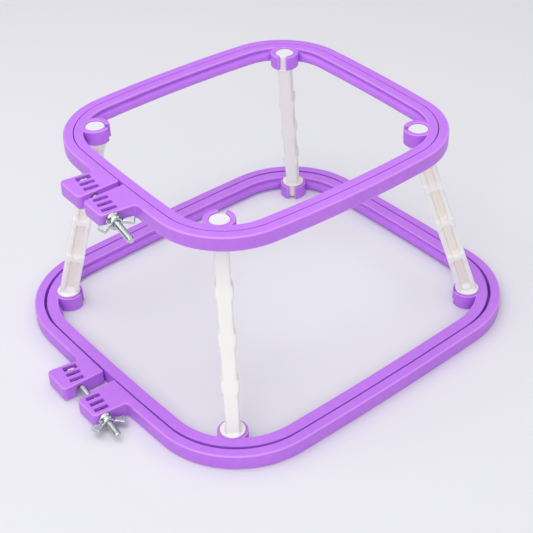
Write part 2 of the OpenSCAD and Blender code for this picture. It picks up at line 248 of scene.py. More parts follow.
def outline_parts(o):
    """Corner's middle, middles and radii of the long and the short side's arcs."""
    half_l, half_w, r, bow_l, bow_s = o
    long_r = ((half_l - r) ** 2 + bow_l ** 2) / (2 * bow_l)
    short_r = ((half_w - r) ** 2 + bow_s ** 2) / (2 * bow_s)
    long_mid = np.array([0, half_w - long_r])
    short_mid = np.array([half_l - short_r, 0])
    across = short_mid - long_mid
    d = np.linalg.norm(across)
    reach_l, reach_s = long_r - r, short_r - r
    along = (reach_l ** 2 - reach_s ** 2 + d ** 2) / (2 * d)
    beside = math.sqrt(reach_l ** 2 - along ** 2)
    corner = long_mid + across * along / d + np.array([across[1], -across[0]]) * beside / d
    return corner, long_mid, short_mid, long_r, short_r


def stations(o, split=None):
    """Points all round an outline and the directions in from them. A split, in mm, leaves it open at -X."""
    corner, long_mid, short_mid, long_r, short_r = outline_parts(o)
    t = math.atan2(corner[1] - long_mid[1], corner[0] - long_mid[0])
    s = math.atan2(corner[1] - short_mid[1], corner[0] - short_mid[0])
    pi, r = math.pi, o[2]
    flip = np.array([-1, 1])
    gap = math.asin(split / 2 / short_r) if split else 0
    arcs = [(-short_mid, short_r, pi + gap, pi + s, SHORT_STEPS // 2),
            (-corner, r, pi + s, pi + t, CORNER_STEPS),
            (-long_mid, long_r, pi + t, 2 * pi - t, LONG_STEPS),
            (-corner * flip, r, 2 * pi - t, 2 * pi - s, CORNER_STEPS),
            (short_mid, short_r, -s, s, SHORT_STEPS),
            (corner, r, s, t, CORNER_STEPS),
            (long_mid, long_r, t, pi - t, LONG_STEPS),
            (corner * flip, r, pi - t, pi - s, CORNER_STEPS),
            (-short_mid, short_r, pi - s, pi - gap, SHORT_STEPS // 2)]
    points, inward = [], []
    for i, (mid, radius, a0, a1, steps) in enumerate(arcs):
        last = split and i == len(arcs) - 1
        for a in np.linspace(a0, a1, steps + 1)[:None if last else -1]:
            way = np.array([math.cos(a), math.sin(a)])
            points.append(mid + radius * way)
            inward.append(-way)
    return np.array(points), np.array(inward)


def sweep(o, section, split=None):
    """Carries along an outline the section that a function gives for each station and its way in."""
    points, inward = stations(o, split)
    rows = []
    for i in range(len(points)):
        shape = section(points[i], inward[i])
        flat = points[i] + inward[i] * shape[:, :1]
        rows.append(np.column_stack([flat, shape[:, 1]]))
    return loft(rows, loop=not split)


def fillet_points(mid, r, start, end):
    return arc(mid, r, math.radians(start), math.radians(end), FILLET_STEPS)


# Hoops.

def outer_section(w, h, show, slack):
    """An outer hoop's section for each station; its lip reaches into the slack of the corners."""
    r, e = EDGE_R, SEAM_R

    def section(point, inward):
        diagonal = max(0, abs(inward[0]) + abs(inward[1]) - 1) / SQUARE_PAST_ROUND
        lip = w + SEAM_LIP_REACH * slack * diagonal
        return np.vstack([fillet_points((r, r), r, 180, 270),
                          fillet_points((lip - e, e), e, 270, 360),
                          [(lip, SEAM_LIP_H), (w - show, SEAM_LIP_H)],
                          fillet_points((w - show - e, h - e), e, 0, 90),
                          fillet_points((r, h - r), r, 90, 180)])

    return section


# The inner wall of an inner hoop: how far it stands out, at shares of its height. A half-round bead lies
# below, and a cove above it runs up to the rounded top edge.
WALL_AT = (0.0, 0.04, 0.1, 0.15, 0.2, 0.26, 0.34, 0.42, 0.49,
           0.55, 0.6, 0.64, 0.67, 0.71, 0.76, 0.8, 0.84, 0.93)
WALL_OUT = (-1.8, -1.7, -1.2, -0.2, 0.5, 0.95, 1.2, 1.05, 0.6,
            -0.1, -0.9, -1.6, -2.6, -3.2, -3.2, -2.4, -1.5, -1.35)
WALL_STEPS = 40
TOP_LIP_R = 1.0
# How much narrower an inner hoop is at its corners.
CORNER_THIN = 0.5
# Where the bead and the cove fade out beside a socket, from its axis.
FADE_FROM, FADE_OVER = 13.4, 3.6
# Height and depth of the bevel at the wall's foot beside a socket.
FOOT_BEVEL = (1.0, 0.9)
RING_EDGE_R, RING_STEPS = 0.8, 72
# Roundings of a bore's lower and upper mouth, and of the ring's tips at the bore and outside.
BORE_MOUTH_R, BORE_MOUTH_STEPS = (0.4, 0.7), 4
TIP_IN_R, TIP_OUT_R = 0.7, 1.0
# How far past the ring's edge its slot is cut, as a share of the ring's radius.
SLOT_REACH = 1.2


def inner_wall(h):
    at = np.linspace(0, h - TOP_LIP_R, WALL_STEPS) / h
    out = np.interp(at, WALL_AT, WALL_OUT)
    out[1:-1] = (out[:-2] + 2 * out[1:-1] + out[2:]) / 4
    return at * h, out


def inner_hoop(o, w, h, socket):
    heights, out = inner_wall(h)
    sockets = [np.array([sx * socket[0], sy * socket[1]]) for sx in (-1, 1) for sy in (-1, 1)]
    e, lip = SEAM_R, TOP_LIP_R

    def section(point, inward):
        wall = point + inward * w
        away = min(np.linalg.norm(wall - s) for s in sockets)
        share = smooth((away - FADE_FROM) / FADE_OVER)
        plain = np.interp(heights, (0, FOOT_BEVEL[0], h), (-FOOT_BEVEL[1], 0, out[-1]))
        shown = w - CORNER_THIN * abs(2 * inward[0] * inward[1]) + share * out + (1 - share) * plain
        lip_at = shown[-1]
        return np.vstack([fillet_points((e, e), e, 180, 270),
                          np.column_stack([shown, heights])[:-1],
                          fillet_points((lip_at - lip, h - lip), lip, 0, 90),
                          fillet_points((e, h - e), e, 90, 180)])

    hoop = sweep(o, section)
    rings, bores = [], []
    for s in sockets:
        ring = prism(circle(SOCKET_R, RING_STEPS), rounded_levels(0, h, RING_EDGE_R, RING_EDGE_R))
        rings.append(move(ring, Matrix.Translation((*s, 0))))
        bore = prism(keyhole_plan(), mouth_levels(0, h, *BORE_MOUTH_R, steps=BORE_MOUTH_STEPS))
        way = math.atan2(-np.sign(s[1]) * math.sin(SLOT_TURN), -np.sign(s[0]) * math.cos(SLOT_TURN))
        bores.append(move(bore, Matrix.Translation((*s, 0)) @ Matrix.Rotation(way - math.pi, 4, "Z")))
    carve(hoop, rings, "UNION")
    return carve(hoop, bores)


def keyhole_plan():
    """A socket's bore and the slot that opens it towards -X, with the ring's four tips rounded."""
    r, half = PLUG_R + PLUG_CLEAR, SLOT_W / 2
    r1, r2 = TIP_IN_R, TIP_OUT_R
    c1 = np.array([-math.sqrt((r + r1) ** 2 - (half + r1) ** 2), half + r1])
    c2 = np.array([-math.sqrt((SOCKET_R - r2) ** 2 - (half + r2) ** 2), half + r2])
    a1, a2 = math.atan2(c1[1], c1[0]), math.atan2(c2[1], c2[0])
    upper = np.vstack([arc((0, 0), r, 0, a1, 40),
                       arc(c1, r1, a1 + math.pi, 1.5 * math.pi, 4)[1:],
                       arc(c2, r2, 1.5 * math.pi, a2, 5),
                       [np.array([math.cos(a2), math.sin(a2)]) * SOCKET_R * SLOT_REACH]])
    lower = (upper * [1, -1])[::-1][:-1]
    return np.vstack([upper, lower])


def socket_at(o, w, past):
    """Axis of the socket at +X, +Y: on the corner's diagonal, past the inner wall."""
    return outline_parts(o)[0] + (o[2] - w - past) / math.sqrt(2)


UPPER_INNER = inset(UPPER_OUTLINE, UPPER_OUTER_W + SEAM_GAP)
LOWER_INNER = inset(LOWER_OUTLINE, LOWER_OUTER_W + SEAM_GAP, CORNER_SLACK)
UPPER_SOCKET = socket_at(UPPER_INNER, UPPER_INNER_W, UPPER_SOCKET_IN)
LOWER_SOCKET = socket_at(LOWER_INNER, LOWER_INNER_W, LOWER_SOCKET_IN)
# The sockets' slots point along the way from an upper socket to a lower one.
SLOT_TURN = math.atan2(*(LOWER_SOCKET - UPPER_SOCKET)[::-1])


# Clamps.

# How far past the gap the hoop itself starts; the lug is modelled through it up to there.
LUG_LAP = 4.0
INNER_CORNER_R = 1.0
# How far along the hoop from a lug's root, and how far into the hoop, the lug's plan starts.
ROOT_PAST, ROOT_IN = 5.0, 1.0


def split_faces(obj, place, way):
    """Splits the faces of a mesh along a plane; its shape stays as it is."""
    bm = bmesh.new()
    bm.from_mesh(obj.data)
    bmesh.ops.bisect_plane(bm, geom=bm.verts[:] + bm.edges[:] + bm.faces[:], plane_co=place, plane_no=way)
    bm.to_mesh(obj.data)
    bm.free()


def lug(o, w, h, gap, side):
    """One lug, through the hoop to its inner face, w in: its plan seen from above, with rounded edges."""
    hoop_x = o[0]
    half = (gap / 2 + LUG_W) / math.cos(BOLT_ANGLE)
    _, _, short_mid, _, short_r = outline_parts(o)

    def face(x):
        return side * half + (x - hoop_x - BOLT_OUT) * math.tan(BOLT_ANGLE)

    def inner_x(y):
        return math.sqrt((short_r - w) ** 2 - y ** 2) - (short_r - hoop_x)

    q = math.pi / 2
    end, r, near = hoop_x + LUG_L, LUG_R, side * gap / 2
    root_y = face(hoop_x) + side * (ROOT_R + ROOT_PAST)
    ci = INNER_CORNER_R
    # Listed from the hoop's inner face round the gap, the end and the side face, for side +1.
    inner_line = [(-inner_x(y), y) for y in np.linspace(root_y, near + side * ci, 8)]
    corner_in = arc((-inner_x(near) - ci, near + side * ci), ci, 0, -side * q, 4)[1:]
    end_near = arc((r - end, near + side * r), r, -side * q, -side * 2 * q, 7)
    end_far = arc((r - end, face(end - r) - side * r), r, side * 2 * q, side * q, 7)
    hollow = arc((-hoop_x - ROOT_R, face(hoop_x + ROOT_R) + side * ROOT_R), ROOT_R, -side * q, 0, 5)
    root = [(-hoop_x + ROOT_IN, root_y)]
    plan = np.vstack([inner_line, corner_in, end_near, end_far, hollow, root])
    n = len(inner_line)
    radii = []
    for edge in (LUG_FOOT_R, LUG_TOP_R):
        radius = np.full(len(plan), edge)
        radius[:n] = radius[-1] = SEAM_R
        radius[n:n + len(corner_in)] = np.linspace(SEAM_R, LUG_SPLIT_R, len(corner_in))
        radii.append(radius)
    area = np.sum(plan[:, 0] * np.roll(plan[:, 1], -1) - plan[:, 1] * np.roll(plan[:, 0], -1))
    if area < 0:
        plan, radii = plan[::-1], [radius[::-1] for radius in radii]
    block = prism(plan, rounded_levels(0, h, *radii))
    # Split along the bolt, so that no face goes all round the mouth of a slot.
    split_faces(block, (-hoop_x - BOLT_OUT, 0, 0), (math.cos(BOLT_ANGLE), -math.sin(BOLT_ANGLE), 0))
    return block


def nut_seat(gap):
    """Where a nut's seat lies along its bolt, from the middle of the gap."""
    return gap / 2 + LUG_W


def head_seat(gap):
    """Where a head bears along its bolt, from the middle of the gap."""
    return -gap / 2 - LUG_W / 2 - LUG_SLOT_PITCH + (HEAD_H + HEAD_ROOM) / 2


def bolt_frame(o, h):
    """From a bolt's own frame, with +Z from head to nut and +Y up, to the hoop's."""
    return (Matrix.Translation((-o[0] - BOLT_OUT, 0, h / 2)) @ Matrix.Rotation(-BOLT_ANGLE, 4, "Z")
            @ Matrix.Rotation(math.pi / 2, 4, "X"))


# Roundings of the channel's mouth at the nut, and of a slot's corners and mouths.
CHANNEL_MOUTH_R, SLOT_CORNER_R, SLOT_MOUTH_R = 0.5, 0.35, 0.3


def clamp_tools(o, h, gap):
    """Cutters for the bolt's channel, the slots in the lugs' tops and the slot of the head."""
    to_hoop = bolt_frame(o, h)
    r = CHANNEL_W / 2
    profile = np.vstack([arc((0, 0), r, 0, math.pi, 20), [(-r, -h), (r, -h)]])
    channel = prism(profile, mouth_levels(head_seat(gap), nut_seat(gap), 0, CHANNEL_MOUTH_R))
    tools = [move(channel, to_hoop)]
    upright = Matrix.Rotation(-math.pi / 2, 4, "X")

    def slot(at, width, floor):
        plan = round_box_plan(LUG_SLOT_L / 2, width / 2, SLOT_CORNER_R)
        r_low = SLOT_MOUTH_R if floor < -h / 2 else 0
        cutter = prism(plan, mouth_levels(max(floor, -h / 2), h / 2, r_low, SLOT_MOUTH_R))
        return move(cutter, to_hoop @ Matrix.Translation((0, 0, at)) @ upright)

    tools.append(slot(head_seat(gap) - (HEAD_H + HEAD_ROOM) / 2, HEAD_H + HEAD_ROOM, -h))
    for side in (-1, 1):
        for step in (-1, 0, 1):
            if side > 0 or step > -1:
                at = side * (gap + LUG_W) / 2 + step * LUG_SLOT_PITCH
                tools.append(slot(at, LUG_SLOT_W, LUG_SLOT_FLOOR - h / 2))
    return tools


# The end at +Y of the opened lower hoop has sprung out: its turn, the heel that it turns about, how far it is
# pushed along the hoop, and the stretch over which the turn fades.
SPRING, SPRING_HEEL, SPRING_PUSH, SPRING_FADE = math.radians(3.2), 38.3, 0.5, 24
# The seam opens by a share of the turn. From the hoop's inner face to this far outside the hoop, the share
# grows to the whole.
SPRING_SEAM, SPRING_SPREAD = 0.25, 3.4


def spring_out(hoop, o, w):
    """Turns the end at +Y of a hoop outward, with its lug. Here x is the depth in from the outer face."""
    for v in hoop.data.vertices:
        x, y = v.co.x + o[0], v.co.y - SPRING_HEEL
        if x < o[0] and v.co.y > 0:
            share = 1 - smooth((y + SPRING_FADE / 3) / SPRING_FADE)
            share *= SPRING_SEAM + (1 - SPRING_SEAM) * smooth((w - x) / (w + SPRING_SPREAD))
            c, s = math.cos(SPRING * share), math.sin(SPRING * share)
            v.co.x += x * c + y * s - x
            v.co.y += y * c - x * s - y + SPRING_PUSH * share


def outer_hoop(o, w, h, gap, show, slack=0.0):
    """An outer hoop with its clamp. The one with slack at its corners is open, so its end springs out."""
    hoop = sweep(o, outer_section(w, h, show, slack), split=gap + 2 * LUG_LAP)
    carve(hoop, [lug(o, w - show, h, gap, 1), lug(o, w - show, h, gap, -1)], "UNION")
    carve(hoop, clamp_tools(o, h, gap))
    if slack:
        spring_out(hoop, o, w)
    return hoop


# Bolts and wing nuts.

ROUND_STEPS = 48
THREAD_PITCH, THREAD_DEPTH, THREAD_SIDES = 1.0, 0.22, 36
STEPS_A_TURN = 8
# Length of the plain neck, and of the stretch over which the thread starts.
SHANK_L, RUN_IN = 6.0, 2.0
# The bevel on the head's outer end: how far inside its flats it starts, how far outside them it ends, and its
# height.
HEAD_BEVEL = (0.6, 0.9, 0.75)
# How far the sprung lower lug pulls its bolt's head along.
HEAD_PULL = 1.0


def clamp_bolt(gap):
    """A bolt in its own frame: hexagon head, plain neck and a real helical thread up to the bevelled tip."""
    pull = HEAD_PULL if gap == LOWER_GAP else 0
    base, long = head_seat(gap) - SEAT_GAP - pull, BOLT_L + pull
    step = THREAD_PITCH / STEPS_A_TURN
    heights = np.concatenate([[-HEAD_H / 2, 0.0], np.arange(SHANK_L, long, step), [long]])
    turns = np.arange(THREAD_SIDES) / THREAD_SIDES
    rows = []
    for z in heights:
        wave = 0.5 + 0.5 * np.cos(2 * math.pi * (z / THREAD_PITCH - turns))
        runs = smooth((z - SHANK_L) / RUN_IN)
        r = BOLT_R - THREAD_DEPTH * runs * wave ** 3
        r = np.minimum(r, BOLT_R - max(0, z - (long - BOLT_TIP)))
        rows.append(np.column_stack([r * np.cos(turns * 2 * math.pi), r * np.sin(turns * 2 * math.pi),
                                     np.full(THREAD_SIDES, base + z)]))
    bolt = loft(rows)
    head = prism(circle(HEAD_AF / 2 / math.cos(math.pi / 6), 6), [(base - HEAD_H, 0), (base, 0)])
    inside, outside, high = HEAD_BEVEL
    disc = circle(HEAD_AF / 2 + outside, ROUND_STEPS)
    trim = prism(disc, [(base - HEAD_H, -inside - outside), (base - HEAD_H + high, 0), (base + CUT_PAST, 0)])
    carve(head, [trim], "INTERSECT")
    return carve(bolt, [head], "UNION")


# The hub's outline, as (radius, height above the seat).
HUB = ((5.7, 0.0), (6.6, 0.15), (6.8, 0.6), (6.8, 1.6), (6.3, 2.1), (5.85, 2.5), (5.85, 3.0), (6.05, 3.5),
       (6.05, 5.6), (5.7, 6.5), (5.0, 7.1), (4.2, 7.3))
NUT_BORE_R, NUT_BORE_STEPS, NUT_MOUTH_R = 3.1, 36, 0.4
# The cast skin: its voxels, and how strongly and how often it is eased.
NUT_VOXEL, NUT_EASE, NUT_EASE_TIMES = 0.22, 0.5, 3
# A wing in the plane of the bolt's axis, as (distance from the axis, distance from the seat): the middles of
# the two rounded corners of its end, their radii, and where its edges leave the hub.
WING_T, WING_EDGE_R = 3.0, 0.6
WING_CORNERS, WING_CORNER_R = ((12.9, 6.4), (11.4, 11.0)), (2.4, 1.5)
# Where the arcs of the two corners start, meet and end, in degrees.
WING_TURNS = (-60, 8, 118)
WING_ROOTS = ((3.6, 0.2), (5.6, 8.0), (3.6, 7.2))


def wing_nut():
    """A cast wing nut in the bolt's frame, standing on its seat at z = 0."""
    nut = loft([np.column_stack([circle(r, ROUND_STEPS), np.full(ROUND_STEPS, z)]) for r, z in HUB])
    start, middle, end = (math.radians(turn) for turn in WING_TURNS)
    plan = np.vstack([WING_ROOTS[:1],
                      arc(WING_CORNERS[0], WING_CORNER_R[0], start, middle, 6),
                      arc(WING_CORNERS[1], WING_CORNER_R[1], middle, end, 6),
                      WING_ROOTS[1:]])
    for way in (1, -1):
        wing = prism(plan, rounded_levels(-WING_T / 2, WING_T / 2, WING_EDGE_R, WING_EDGE_R))
        stand = Matrix.Rotation(math.pi / 2, 4, "X")
        if way < 0:
            stand = Matrix.Rotation(math.pi, 4, "Z") @ stand
        carve(nut, [move(wing, stand)], "UNION")
    bore = prism(circle(NUT_BORE_R, NUT_BORE_STEPS), mouth_levels(0, HUB[-1][1], NUT_MOUTH_R, NUT_MOUTH_R))
    carve(nut, [bore])
    cast = nut.modifiers.new("cast", "REMESH")
    cast.mode, cast.voxel_size = "VOXEL", NUT_VOXEL
    ease = nut.modifiers.new("ease", "SMOOTH")
    ease.factor, ease.iterations = NUT_EASE, NUT_EASE_TIMES
    nut.data = applied(nut)
    return nut


# Legs.

LEG_HALF_W, LEG_HALF_T = 8.3, 5.9
LEG_CORNER_R = 2.0
POCKET_L, POCKET_W, POCKET_DEEP, POCKET_SLOPE = 36, 8.2, 3.2, 4.6
# Roundings of a pocket's corners at its top and at its foot, and how far its walls spread.
POCKET_TOP_R, POCKET_FOOT_R, POCKET_WALL = 1.0, 3.4, 1.2
# How far outside its outline a pocket's wall starts.
POCKET_EDGE = 0.1
POCKET_PITCH, POCKET_DROP = 39.8, 1.8
POCKET_AT = [(i - 1.5) * POCKET_PITCH - POCKET_DROP for i in range(4)]
RIB_AT = [(i - 1) * POCKET_PITCH - POCKET_DROP for i in range(3)]
RIB_OUT, RIB_FLAT, RIB_RISE = 1.45, 3.2, (2.4, 4.4)
FACE_STEPS, SIDE_POINTS = 32, 5
# Rings along a leg: their distance on the bar and close to a pocket's end, how far that reaches, their number
# and distance at a leg's end, and the least distance between two.
RING_STEP, END_STEP, END_REACH = 1.6, 0.4, 3.2
TIP_RINGS, TIP_STEP, LEAST_STEP = 12, 0.3, 0.25
# Over this length at its ends a bar's rings turn level. The bar starts this far inside its flanges, and it
# widens into them by this fillet.
LEVEL_OVER, BAR_IN, FLANGE_FILLET = 4.0, 0.5, 0.9
# The outline of a plug and its flange, as (distance in from their radius, height from an edge of theirs).
PLUG_TIP = ((0.7, 0.0), (0.25, 0.12), (0.0, 0.6))
FLANGE_SEAT_IN, FLANGE_FOOT = 0.2, ((0.45, 0.0), (0.12, 0.13), (0.0, 0.45))
FLANGE_TOP = ((0.0, 0.55), (0.18, 0.18), (0.6, 0.0))
PLUG_STEPS = 64
# A point gets the pockets' painted shade from the first depth on, and in full after the second more.
DEEP_FROM, DEEP_OVER = 1.4, 1.5
# No pocket reaches this close to a leg's ends.
POCKETS_END = 8.0
# How far below a plug's end face its points still count as that face.
END_FACE = 0.05


def leg_half_t(s):
    """Half the leg's thickness at s along it: it stands out in a short flat rib between two pockets."""
    t = LEG_HALF_T
    for at in RIB_AT:
        d = s - at
        t = t + RIB_OUT * smooth(1 - (np.abs(d) - RIB_FLAT) / np.where(d > 0, *RIB_RISE))
    return t


def pocket_depth(x, s):
    """Depth of the pockets below the leg's middle face: square above, round and sloping at the foot."""
    depth = np.zeros_like(x)
    for at in POCKET_AT:
        d = s - at
        r = np.where(d > 0, POCKET_TOP_R, POCKET_FOOT_R)
        qx, qs = np.abs(x) - POCKET_W / 2 + r, np.abs(d) - POCKET_L / 2 + r
        inside = r - (np.minimum(np.maximum(qx, qs), 0) + np.hypot(np.maximum(qx, 0), np.maximum(qs, 0)))
        slope = smooth((d + POCKET_L / 2) / POCKET_SLOPE)
        below = POCKET_DEEP * slope + leg_half_t(s) - LEG_HALF_T
        depth = np.maximum(depth, below * smooth((inside + POCKET_EDGE) / POCKET_WALL))
    return depth


def leg_levels(half_l):
    """Places along the leg where it gets a ring, close together at the pockets' ends and the leg's ends."""
    marks = set(np.round(np.arange(-half_l, half_l, RING_STEP), 3))
    for at in POCKET_AT:
        for end in (at - POCKET_L / 2, at + POCKET_L / 2):
            marks |= set(np.round(np.arange(end - END_REACH, end + END_REACH, END_STEP), 3))
    for end, way in ((-half_l, 1), (half_l, -1)):
        marks |= {round(end + k * TIP_STEP * way, 3) for k in range(TIP_RINGS)}
    marks = sorted(m for m in marks if -half_l <= m <= half_l)
    kept = [marks[0]]
    for m in marks[1:]:
        if m - kept[-1] > LEAST_STEP:
            kept.append(m)
    kept[-1] = half_l
    return kept


def leg_ring(at, half_l):
    """The bar's outline at a place along it, as (across the pocketed faces' width, through its thickness)."""
    r = LEG_CORNER_R
    half_t = float(leg_half_t(at))
    x = np.linspace(LEG_HALF_W - r, r - LEG_HALF_W, FACE_STEPS + 1)
    y = half_t - pocket_depth(x, np.full(len(x), at))
    turns = np.linspace(0, math.pi / 2, FILLET_STEPS + 1)[1:-1]
    mid_x, mid_y = r - LEG_HALF_W, half_t - r
    side_y = np.linspace(mid_y, -mid_y, SIDE_POINTS)
    half = np.vstack([np.column_stack([x, y]),
                      np.column_stack([mid_x - r * np.sin(turns), mid_y + r * np.cos(turns)]),
                      np.column_stack([np.full(SIDE_POINTS, -LEG_HALF_W), side_y]),
                      np.column_stack([mid_x - r * np.cos(turns), -mid_y - r * np.sin(turns)])])
    ring = np.vstack([half, -half])
    above = max(0, half_l - abs(at) - FLANGE_T)
    if above < FLANGE_FILLET:
        flare = FLANGE_FILLET - math.sqrt(FLANGE_FILLET ** 2 - (FLANGE_FILLET - above) ** 2)
        ring = ring * (1 + flare / np.linalg.norm(ring, axis=1)[:, None])
    return ring


def leg_end(place, z, way, h):
    """A plug and its flange; way is +1 where the plug points down."""
    plug_l = h - PLUG_SHORT - SEAT_GAP
    profile = ([(PLUG_R - by, at - plug_l) for by, at in PLUG_TIP]
               + [(PLUG_R, FLANGE_SEAT_IN)]
               + [(FLANGE_R - by, at) for by, at in FLANGE_FOOT]
               + [(FLANGE_R - by, FLANGE_T - at) for by, at in FLANGE_TOP])
    return loft([np.column_stack([circle(r, PLUG_STEPS) + place, np.full(PLUG_STEPS, z + way * at)])
                 for r, at in profile])


def leg(corner):
    """One leg: bar, flanges and plugs, its wide side turned the way it leans."""
    foot, top = LOWER_SOCKET * corner, UPPER_SOCKET * corner
    c, s = math.cos(UPPER_TURN), math.sin(UPPER_TURN)
    top = np.array([top[0] * c - top[1] * s, top[0] * s + top[1] * c]) + UPPER_SHIFT
    low_z, high_z = LOWER_H + SEAT_GAP, FRAME_H - UPPER_H - SEAT_GAP
    start, end = np.array([*foot, low_z]), np.array([*top, high_z])
    middle = (start + end) / 2
    axis = end - start
    half_l = np.linalg.norm(axis) / 2
    axis /= 2 * half_l
    out = np.array([*(foot - top), 0])
    wide = out - axis * (out @ axis)
    wide /= np.linalg.norm(wide)
    thick = np.cross(axis, wide)
    rows = []
    for at in leg_levels(half_l):
        ring = leg_ring(at, half_l)
        points = middle + np.outer(ring[:, 0], wide) + np.outer(ring[:, 1], thick) + at * axis
        # Near its ends each ring tilts until it lies level.
        lean = smooth((abs(at) - half_l + LEVEL_OVER) / LEVEL_OVER)
        level = middle[2] + axis[2] * at
        rows.append(points + np.outer((level - points[:, 2]) / axis[2] * lean, axis))
    rows[0] += axis * BAR_IN
    rows[-1] -= axis * BAR_IN
    bar = loft(rows)
    carve(bar, [leg_end(foot, low_z, 1, LOWER_H), leg_end(top, high_z, -1, UPPER_H)], "UNION")
    mark_leg(bar, middle, axis, wide, thick, half_l)
    return bar


def mark_leg(bar, middle, axis, wide, thick, half_l):
    """Marks how deep in a pocket each point lies, and the plugs' end faces, for the painted shade in the
    plastic's colour.
    """
    spots = np.array([v.co for v in bar.data.vertices]) - middle
    x, y, at = spots @ wide, spots @ thick, spots @ axis
    deep = np.clip((leg_half_t(at) - np.abs(y) - DEEP_FROM) / DEEP_OVER, 0, 1)
    deep[(np.abs(x) > POCKET_W / 2) | (np.abs(at) > half_l - POCKETS_END)] = 0
    bar.data.attributes.new("pocket", "FLOAT", "POINT").data.foreach_set("value", deep)
    # The plugs' end faces are marked for their painted shade.
    end_out = FRAME_H / 2 - PLUG_SHORT - 2 * SEAT_GAP
    ends = (np.abs(spots[:, 2] + middle[2] - FRAME_H / 2) > end_out - END_FACE).astype(float)
    bar.data.attributes.new("end", "FLOAT", "POINT").data.foreach_set("value", ends)


# Materials.

# Colours as seen in a picture, 0 to 255. A finish varies between its two tones.
# The lilac's third colour is a painted highlight: rounded edges are lightened towards it in place of the
# glint of light on them.
LILAC_TONES, LILAC_EDGE_HIGHLIGHT = ((190, 115, 236), (197, 120, 242)), (236, 164, 252)
# The leg's second and third colours are painted shade: a warmer darker tint deep in the pockets and a cooler
# darker tint on the plugs' end faces.
WHITE_TONES, WHITE_POCKET_SHADE, WHITE_END_SHADE = ((243, 243, 237), (247, 247, 242)), (246, 239, 226), (224, 227, 229)
ZINC_TONES = ((190, 196, 198), (208, 213, 214))
FLOOR_TONE = (229, 229, 234)
# How far a rounded edge takes on its painted highlight colour.
EDGE_HIGHLIGHT_SHARE = 0.5
# A noise passes from its first tone to its second between these two values.
NOISE_LOW, NOISE_HIGH = 0.3, 0.7
NOISE_ROUGHNESS = 0.55
# Roughness of the hoops, the legs, the bolts and the nuts, each from and to.
HOOP_GLOSS, LEG_GLOSS, BOLT_GLOSS, NUT_GLOSS = (0.30, 0.42), (0.36, 0.5), (0.07, 0.14), (0.12, 0.2)
# Light goes this far into the legs' plastic, in metres, in red, green and blue.
LEG_DEPTH, LEG_DEPTH_WEIGHT = (0.004, 0.003, 0.002), 0.08


def material(name, metallic=0.0):
    """A new material, its nodes, links and shader, and functions that add noises and ramps to it."""
    m = bpy.data.materials.new(name)
    m.use_nodes = True
    nodes, links = m.node_tree.nodes, m.node_tree.links
    shader = nodes["Principled BSDF"]
    shader.inputs["Metallic"].default_value = metallic
    coords = nodes.new("ShaderNodeTexCoord")

    def noise(scale, detail):
        n = nodes.new("ShaderNodeTexNoise")
        n.inputs["Scale"].default_value = scale
        n.inputs["Detail"].default_value = detail
        n.inputs["Roughness"].default_value = NOISE_ROUGHNESS
        links.new(coords.outputs["Object"], n.inputs["Vector"])
        return n.outputs["Fac"]

    def ramp(fac, stops):
        r = nodes.new("ShaderNodeValToRGB")
        links.new(fac, r.inputs["Fac"])
        while len(r.color_ramp.elements) < len(stops):
            r.color_ramp.elements.new(0.5)
        for e, (at, colour) in zip(r.color_ramp.elements, stops):
            e.position = at
            e.color = (*colour, 1) if isinstance(colour, tuple) else (colour, colour, colour, 1)
        return r.outputs["Color"]

    def tones(fac, low, high):
        return ramp(fac, [(NOISE_LOW, low), (NOISE_HIGH, high)])

    return m, nodes, links, shader, noise, ramp, tones


def mixed(nodes, links, fac, a, b, blend="MIX"):
    n = nodes.new("ShaderNodeMix")
    n.data_type, n.blend_type = "RGBA", blend
    for socket, value in ((n.inputs[0], fac), (n.inputs[6], a), (n.inputs[7], b)):
        if hasattr(value, "links"):
            links.new(value, socket)
        elif isinstance(value, tuple):
            socket.default_value = (*value, 1)
        else:
            socket.default_value = value
    return n.outputs[2]


def bump(nodes, links, height, strength, distance, under=None):
    n = nodes.new("ShaderNodeBump")
    n.inputs["Strength"].default_value = strength
    n.inputs["Distance"].default_value = distance
    links.new(height, n.inputs["Height"])
    if under:
        links.new(under, n.inputs["Normal"])
    return n.outputs["Normal"]


def linear(r, g, b):
    """A colour seen as 0 to 255 in a picture, as the shader takes it."""
    return tuple(((v / 255 + 0.055) / 1.055) ** 2.4 for v in (r, g, b))


def marked(nodes, name):
    """The value that a mesh's points hold under a name."""
    n = nodes.new("ShaderNodeAttribute")
    n.attribute_name = name
    return n.outputs["Fac"]


def lilac_plastic():
    """Moulded plastic: broad changes of colour, flow marks, a painted highlight along rounded edges and a
    fine grain.
    """
    m, nodes, links, shader, noise, ramp, tones = material("lilac_plastic")
    body = tones(noise(22, 4), *(linear(*tone) for tone in LILAC_TONES))
    flow = ramp(noise(160, 2), [(0.35, 0.95), (0.65, 1.0)])
    toned = mixed(nodes, links, 1.0, body, flow, "MULTIPLY")
    # Painted highlight: rounded edges are lightened towards the lighter lilac.
    light = ramp(marked(nodes, "edge"), [(0.0, 0.0), (1.0, EDGE_HIGHLIGHT_SHARE)])
    links.new(mixed(nodes, links, light, toned, linear(*LILAC_EDGE_HIGHLIGHT)), shader.inputs["Base Color"])
    links.new(tones(noise(900, 2), *HOOP_GLOSS), shader.inputs["Roughness"])
    fine = bump(nodes, links, noise(2600, 2), 0.12, 0.0001)
    links.new(bump(nodes, links, noise(60, 2), 0.10, 0.0012, fine), shader.inputs["Normal"])
    return m


